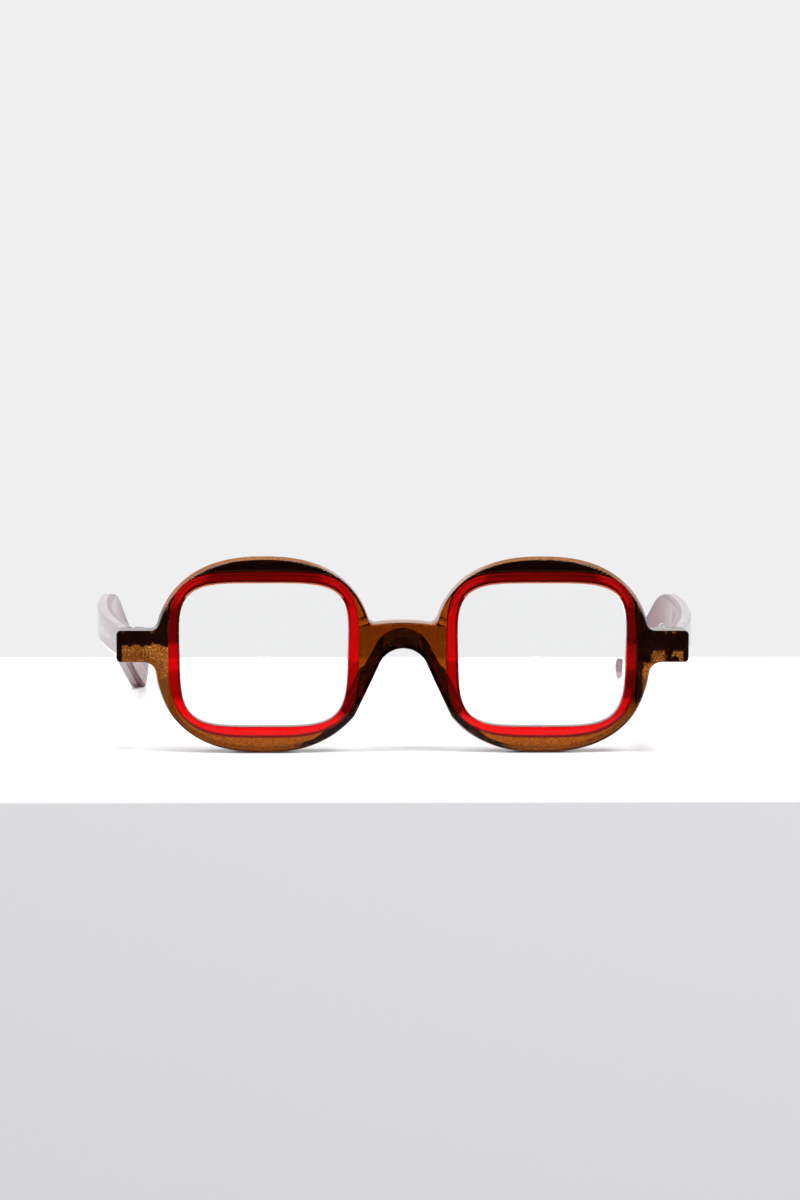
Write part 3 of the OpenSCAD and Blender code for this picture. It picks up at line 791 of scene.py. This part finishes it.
def build_inner_rim(name, side):
    """A red ring with rounded edges round the opening and a V groove that holds the lens."""
    middle = THICKNESS / 2
    flat, edge, crease = 0.9, 0.5, 0.12
    profile = rounded_profile(
        [(flat, 0), (0, 0), (0, middle - GROOVE_WIDTH / 2), (GROOVE_DEPTH, middle),
         (0, middle + GROOVE_WIDTH / 2), (0, THICKNESS), (flat, THICKNESS)],
        [edge, crease, crease, crease, edge])
    outline = inner_rim_outline()
    opening = opening_outline()
    shares = [ring_bevel_share(z) for _, z in outline]
    widths = [math.hypot(x1 - x0, z1 - z0) for (x0, z0), (x1, z1) in zip(outline, opening)]
    bevel = between(outline, opening, [RING_BEVEL * f / wide for f, wide in zip(shares, widths)])
    bm = bmesh.new()
    loops = [add_loop(bm, [(x, 0, z) for x, z in outline], side)]
    for margin, y in profile:
        loops.append(add_loop(bm, [(x, y, z) for x, z in opening_outline(margin)], side))
    past = 0.004    # the back face runs this small share past the bevel's upper edge
    top_edge = between(bevel, outline, [past] * len(bevel))
    loops.append(add_loop(bm, [(x, THICKNESS, z) for x, z in top_edge], side))
    loops.append(add_loop(bm, [(x, THICKNESS - RING_BEVEL_DEPTH * f, z)
                               for (x, z), f in zip(outline, shares)], side))
    front_edge = range(2, 7)    # the strips of the profile's first rounded corner
    for index, (first, second) in enumerate(zip(loops, loops[1:])):
        for face in bridge_loops(bm, first, second):
            # Faces of the front edge above that height get the painted highlight.
            if index in front_edge and face.calc_center_median().z > RING_HIGHLIGHT_LEVEL * MM:
                face.material_index = RED_HIGHLIGHT_SLOT
    bridge_loops(bm, loops[-1], loops[0], slot=SEAM_SLOT)
    finish_mesh(bm, f"inner_rim_{name}_red", [RED, RED_SEAM, RED_HIGHLIGHT], "front", f"inner_rim_{name}")


def build_lens(name, side):
    """A gently curved lens with a V bevel that sits in the inner rim's groove."""
    middle = THICKNESS / 2
    half_edge, bulge, air = 0.85, 1.3, 0.06
    shares = [0.12, 0.25, 0.4, 0.55, 0.7, 0.82, 0.92, 0.98]
    bm = bmesh.new()

    def surface(y_edge):
        loops = []
        for share in shares:
            y = y_edge - bulge * (1 - share ** 2)
            loops.append(add_loop(bm, [(x, y, z) for x, z in opening_outline(-air, share)], side))
        return loops, bm.verts.new(to_world((LENS_X, y_edge - bulge, LENS_Z), side))

    front, front_middle = surface(middle - half_edge)
    back, back_middle = surface(middle + half_edge)
    bevel = rounded_profile(
        [(-air - 0.3, middle - half_edge), (-air, middle - half_edge + 0.02),
         (GROOVE_DEPTH - air, middle),
         (-air, middle + half_edge - 0.02), (-air - 0.3, middle + half_edge)], [0.1, 0.1, 0.1], 3)
    rim = [add_loop(bm, [(x, y, z) for x, z in opening_outline(margin)], side) for margin, y in bevel[1:-1]]
    chain = front + rim + back[::-1]
    for first, second in zip(chain, chain[1:]):
        bridge_loops(bm, first, second)
    fan(bm, front[0], front_middle)
    fan(bm, back[0], back_middle)
    finish_mesh(bm, f"lens_{name}_clear", [LENS], "front", f"lens_{name}")


def build_nose_pad(name, side):
    """A smooth acetate pad that rises from the back of the rim and leans away from the nose."""
    flare = math.radians(NOSE_FLARE)
    level, half_width, half_length, height = 14.8, 1.4, 6.4, 4.5
    lean, sunk = 0.168, 0.05
    edge_x = (ARCH_RADIUS * math.cos(flare)
              + (ARCH_LEVEL + ARCH_RADIUS * math.sin(flare) - level) * math.tan(flare))
    centre_x = edge_x + (1.0 + half_width) / math.cos(flare)
    rings, around = 14, 48
    bm = bmesh.new()
    loops = []
    for i in range(rings):
        angle = math.pi / 2 * i / rings
        shrink, rise = math.cos(angle) ** 0.55, math.sin(angle) ** 0.9
        y = THICKNESS - sunk + (height + sunk) * rise
        points = []
        for k in range(around):
            turn = 2 * math.pi * k / around
            u = half_width * shrink * signed_power(math.cos(turn), 0.8)
            v = half_length * (shrink * 0.75 + 0.25 * shrink ** 3) * signed_power(math.sin(turn), 0.9)
            x = centre_x + lean * height * rise + u * math.cos(flare) - v * math.sin(flare)
            z = level + u * math.sin(flare) + v * math.cos(flare)
            points.append((x, y, z))
        loops.append(add_loop(bm, points, side))
    for first, second in zip(loops, loops[1:]):
        bridge_loops(bm, first, second)
    top = bm.verts.new(to_world((centre_x + lean * height, THICKNESS + height, level), side))
    fan(bm, loops[-1], top)
    base = bm.verts.new(to_world((centre_x, THICKNESS - sunk, level), side))
    fan(bm, loops[0], base, slot=SEAM_SLOT)
    finish_mesh(bm, f"nose_pad_{name}_acetate", [PAD, PAD_SEAM], "front", f"nose_pad_{name}")


# ---- The temples ----

ROOT = (FRONT_WIDTH / 2 - TEMPLE_INSET - TEMPLE_THICKNESS / 2, THICKNESS + JOINT_GAP)
SPLAY_RAD = math.radians(SPLAY)
BOW_CENTRE = (
    ROOT[0] + HINGE_FLAT * math.sin(SPLAY_RAD) - BOW_RADIUS * math.cos(SPLAY_RAD),
    ROOT[1] + HINGE_FLAT * math.cos(SPLAY_RAD) + BOW_RADIUS * math.sin(SPLAY_RAD),
)
TO_TIP = (TIP_DISTANCE - BEND_DISTANCE, TIP_RADIUS - PIECE_LEVEL + BEND_RADIUS)
DROP = math.asin(BEND_RADIUS / math.hypot(*TO_TIP)) - math.atan2(TO_TIP[1], TO_TIP[0])
LAYER_SPLIT = INNER_LAYER - TEMPLE_THICKNESS / 2


def bow(y):
    """Where the temple's middle lies at the distance y, and its heading there."""
    if y <= ROOT[1] + HINGE_FLAT * math.cos(SPLAY_RAD):
        return ROOT[0] + (y - ROOT[1]) * math.tan(SPLAY_RAD), SPLAY_RAD
    heading = math.asin((BOW_CENTRE[1] - y) / BOW_RADIUS)
    return BOW_CENTRE[0] + BOW_RADIUS * math.cos(heading), heading


def temple_stations(start_y):
    """Stations along the temple's middle line: (y, z, slope, half height, thickness share)."""
    stations = []
    count = 26
    for i in range(count):
        y = start_y + (BEND_DISTANCE - start_y) * i / count
        share = max(0.0, (y - ROOT[1]) / (BEND_DISTANCE - ROOT[1]))
        half = PIECE_HEIGHT / 2 + (TIP_RADIUS - PIECE_HEIGHT / 2) * share
        stations.append((y, PIECE_LEVEL, 0.0, half, 1.0))
    for i in range(13):
        angle = DROP * i / 12
        stations.append((BEND_DISTANCE + BEND_RADIUS * math.sin(angle),
                         PIECE_LEVEL - BEND_RADIUS * (1 - math.cos(angle)), angle, TIP_RADIUS, 1.0))
    y0, z0 = stations[-1][:2]
    for i in range(1, 21):
        f = i / 20
        stations.append((y0 + (TIP_DISTANCE - y0) * f, z0 + (TIP_RADIUS - z0) * f, DROP, TIP_RADIUS, 1.0))
    for i in range(1, 17):
        angle = math.pi / 2 * i / 16.25
        along = TIP_RADIUS * math.sin(angle)
        stations.append((TIP_DISTANCE + along * math.cos(DROP), TIP_RADIUS - along * math.sin(DROP), DROP,
                         TIP_RADIUS * math.cos(angle), math.cos(angle) ** 0.35))
    return stations


def section(low, high, half, round_low, round_high, steps=6):
    """Closed section between two distances from the temple's middle, with rounded corners."""
    points = []
    for off, sign_off, radius, corners in ((high, 1, round_high, (-1, 1)), (low, -1, round_low, (1, -1))):
        for sign_h in corners:
            if not radius:
                points.append((off, sign_h * half))
                continue
            r = min(radius, half * 0.98)
            start = {(1, -1): -90, (1, 1): 0, (-1, 1): 90, (-1, -1): 180}[(sign_off, sign_h)]
            for i in range(steps + 1):
                a = math.radians(start + 90 * i / steps)
                points.append((off - sign_off * radius + radius * math.cos(a),
                               sign_h * (half - r) + r * math.sin(a)))
    return points


def temple_point(station, off, height):
    """The place of a section's point on the temple."""
    y, z, slope = station[:3]
    y, z = y + height * math.sin(slope), z + height * math.cos(slope)
    x, heading = bow(y)
    return (x + off / math.cos(heading), y, z)


def loft_temple(bm, side, stations, sections, seam_edge=None):
    """Lofts sections along the stations and closes both ends. seam_edge is the index of the
    section's edge that is glued to the other layer."""
    rows = []
    for station, points in zip(stations, sections):
        rows.append(add_loop(bm, [temple_point(station, off, h) for off, h in points], side))
    count = len(rows[0])
    for first, second in zip(rows, rows[1:]):
        for i in range(count):
            j = (i + 1) % count
            face = bm.faces.new((first[i], first[j], second[j], second[i]))
            face.material_index = SEAM_SLOT if i == seam_edge else PLAIN_SLOT
    bm.faces.new(rows[0])
    bm.faces.new(rows[-1])


def build_temple_layer(name, side, outer):
    """One acetate layer of a temple, rounded on its free side and glued along the other."""
    stations = temple_stations(ROOT[1])
    stations.insert(1, (ROOT[1] + 0.25, PIECE_LEVEL, 0.0, PIECE_HEIGHT / 2, 1.0))
    sections = []
    for k, (_, _, _, half, share) in enumerate(stations):
        trim = 0.22 if k == 0 else 0.0
        free = TEMPLE_THICKNESS / 2 * (1 - trim * 0.12)
        if outer:
            high = LAYER_SPLIT + (free - LAYER_SPLIT) * share
            round_high = min(1.1, (high - LAYER_SPLIT) * 0.9)
            sections.append(section(LAYER_SPLIT, high, half - trim, 0, round_high))
        else:
            low = LAYER_SPLIT - (free + LAYER_SPLIT) * share
            round_low = min(0.8, (LAYER_SPLIT - low) * 0.9)
            sections.append(section(low, LAYER_SPLIT, half - trim, round_low, 0))
    seam = len(sections[0]) - 2 if outer else 0
    bm = bmesh.new()
    loft_temple(bm, side, stations, sections, seam_edge=seam)
    if outer:
        word, materials, slot = "outer", [CRYSTAL, CRYSTAL_SEAM], "crystal_acetate"
    else:
        word, materials, slot = "inner", [TEMPLE_RED, TEMPLE_RED_SEAM], "temple_red_acetate"
    finish_mesh(bm, f"temple_{word}_{name}_acetate", materials, f"temple_{name}",
                f"temple_{word}_{name}")


def build_core_wire(name, side):
    """The flat metal core, with rounded edges and a tapered front end."""
    stations = [s for s in temple_stations(ROOT[1] + WIRE_START) if s[0] < TIP_DISTANCE + 0.5]
    sections = []
    for k in range(len(stations)):
        grow = min(1.0, 0.35 + 0.25 * k) * min(1.0, 0.3 + 0.35 * (len(stations) - 1 - k))
        thick, tall = WIRE_THICKNESS / 2, WIRE_HEIGHT / 2 * grow
        sections.append(section(LAYER_SPLIT - thick, LAYER_SPLIT + thick, tall, thick * 0.6, thick * 0.6, 3))
    bm = bmesh.new()
    loft_temple(bm, side, stations, sections)
    finish_mesh(bm, f"core_wire_{name}_metal", [PIN_METAL], f"temple_{name}", f"core_wire_{name}")


def dress_metal(node, material):
    """Gives a CAD metal part its material and slightly broken edges."""
    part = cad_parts[node]
    for slot in part.material_slots:
        slot.link = "OBJECT"
        slot.material = material
    bevel = part.modifiers.new("broken_edges", "BEVEL")
    bevel.width = 0.06 * MM
    bevel.segments = 2
    bevel.limit_method = "ANGLE"
    bevel.angle_limit = math.radians(40)


build_front()
for side_name, side_sign in SIDES.items():
    build_inner_rim(side_name, side_sign)
    build_lens(side_name, side_sign)
    build_nose_pad(side_name, side_sign)
    build_temple_layer(side_name, side_sign, outer=True)
    build_temple_layer(side_name, side_sign, outer=False)
    build_core_wire(side_name, side_sign)
    dress_metal(f"front_hinge_leaf_{side_name}", HINGE_METAL)
    dress_metal(f"temple_hinge_leaf_{side_name}", HINGE_METAL)
    dress_metal(f"front_hinge_rivets_{side_name}", PIN_METAL)
    dress_metal(f"temple_hinge_rivets_{side_name}", PIN_METAL)
    dress_metal(f"hinge_screw_{side_name}", SCREW_METAL)


# ---- Stage, light and camera ----

WALL = (0.86, 0.86, 0.87)
CEILING = (0.10, 0.10, 0.11)


def build_shelf():
    """The pale, glossy shelf that the spectacles stand on."""
    wide, front_edge, back_edge, drop = 900.0, -74.8, 200.0, 400.0
    bm = bmesh.new()
    corners = [(x, y, z) for z in (0, -drop) for x, y in
               ((-wide, front_edge), (wide, front_edge), (wide, back_edge), (-wide, back_edge))]
    v = [bm.verts.new(to_world(c)) for c in corners]
    for face in ((0, 1, 2, 3), (4, 7, 6, 5), (0, 4, 5, 1), (1, 5, 6, 2), (2, 6, 7, 3), (3, 7, 4, 0)):
        bm.faces.new([v[i] for i in face])
    bmesh.ops.recalc_face_normals(bm, faces=bm.faces)
    mesh = bpy.data.meshes.new("shelf")
    bm.to_mesh(mesh)
    bm.free()
    material, _, shader = new_material("white_gloss_board")
    shader.inputs["Base Color"].default_value = (0.90, 0.90, 0.91, 1.0)
    shader.inputs["Roughness"].default_value = 0.12
    shader.inputs["Specular IOR Level"].default_value = 0.12
    mesh.materials.append(material)
    shelf = bpy.data.objects.new("shelf", mesh)
    bpy.context.scene.collection.objects.link(shelf)
    bevel = shelf.modifiers.new("edge", "BEVEL")
    bevel.width = 1.2 * MM
    bevel.segments = 3


def build_world():
    """A room with pale walls, a dim ceiling and something dark before the spectacles' front,
    which keeps the polished front deep in colour."""
    world = bpy.data.worlds.new("room")
    bpy.context.scene.world = world
    world.use_nodes = True
    tree = world.node_tree
    background = tree.nodes["Background"]
    place = tree.nodes.new("ShaderNodeTexCoord")
    split = tree.nodes.new("ShaderNodeSeparateXYZ")
    tree.links.new(place.outputs["Generated"], split.inputs["Vector"])
    tone = ramp(tree, split.outputs["Z"], [(0.0, WALL), (0.30, WALL), (0.55, CEILING), (1.0, CEILING)])
    forward = step_up(tree, product(tree, split.outputs["Y"], -1.0), 0.80, 0.93)
    above = step_up(tree, split.outputs["Z"], -0.40, -0.28)
    below = step_down(tree, split.outputs["Z"], 0.10, 0.25)
    dark = product(tree, forward, above, below)
    shade = ramp(tree, dark, [(0.0, (1.0, 1.0, 1.0)), (1.0, (0.07, 0.07, 0.07))])
    tree.links.new(multiply(tree, tone, shade), background.inputs["Color"])


def area_light(name, place, target, size, watts):
    """A square soft lamp, in metres, that isn't itself seen through the acetate."""
    light = bpy.data.lights.new(name, "AREA")
    light.shape = "SQUARE"
    light.size = size
    light.energy = watts
    lamp = bpy.data.objects.new(name, light)
    lamp.location = place
    lamp.visible_transmission = False
    lamp.rotation_euler = (Vector(target) - Vector(place)).to_track_quat("-Z", "Y").to_euler()
    bpy.context.scene.collection.objects.link(lamp)


def build_camera():
    """A long lens a little above the spectacles and a little to the wearer's right."""
    distance, height, turn = 1200.0, 165.0, math.radians(-2.4)
    aim = Vector(to_world((-0.85, 0, 37.4)))
    place = Vector(to_world((distance * math.sin(turn), -distance * math.cos(turn), height)))
    camera = bpy.data.cameras.new("camera")
    camera.lens = 149.37
    camera.sensor_fit = "VERTICAL"
    camera.sensor_height = 36
    camera.clip_start = 0.05
    holder = bpy.data.objects.new("camera", camera)
    holder.location = place
    roll = Quaternion((0, 0, 1), math.radians(0.25))
    holder.rotation_euler = ((aim - place).to_track_quat("-Z", "Y") @ roll).to_euler()
    bpy.context.scene.collection.objects.link(holder)
    bpy.context.scene.camera = holder


build_shelf()
build_world()
area_light("key", (0.45, -0.3, 1.0), (0, 0, 0.02), 0.6, 17.0)
area_light("fill", (-0.6, 0.0, 0.95), (0, 0, 0.02), 0.8, 16.0)
build_camera()
bpy.context.scene.view_settings.view_transform = "Standard"
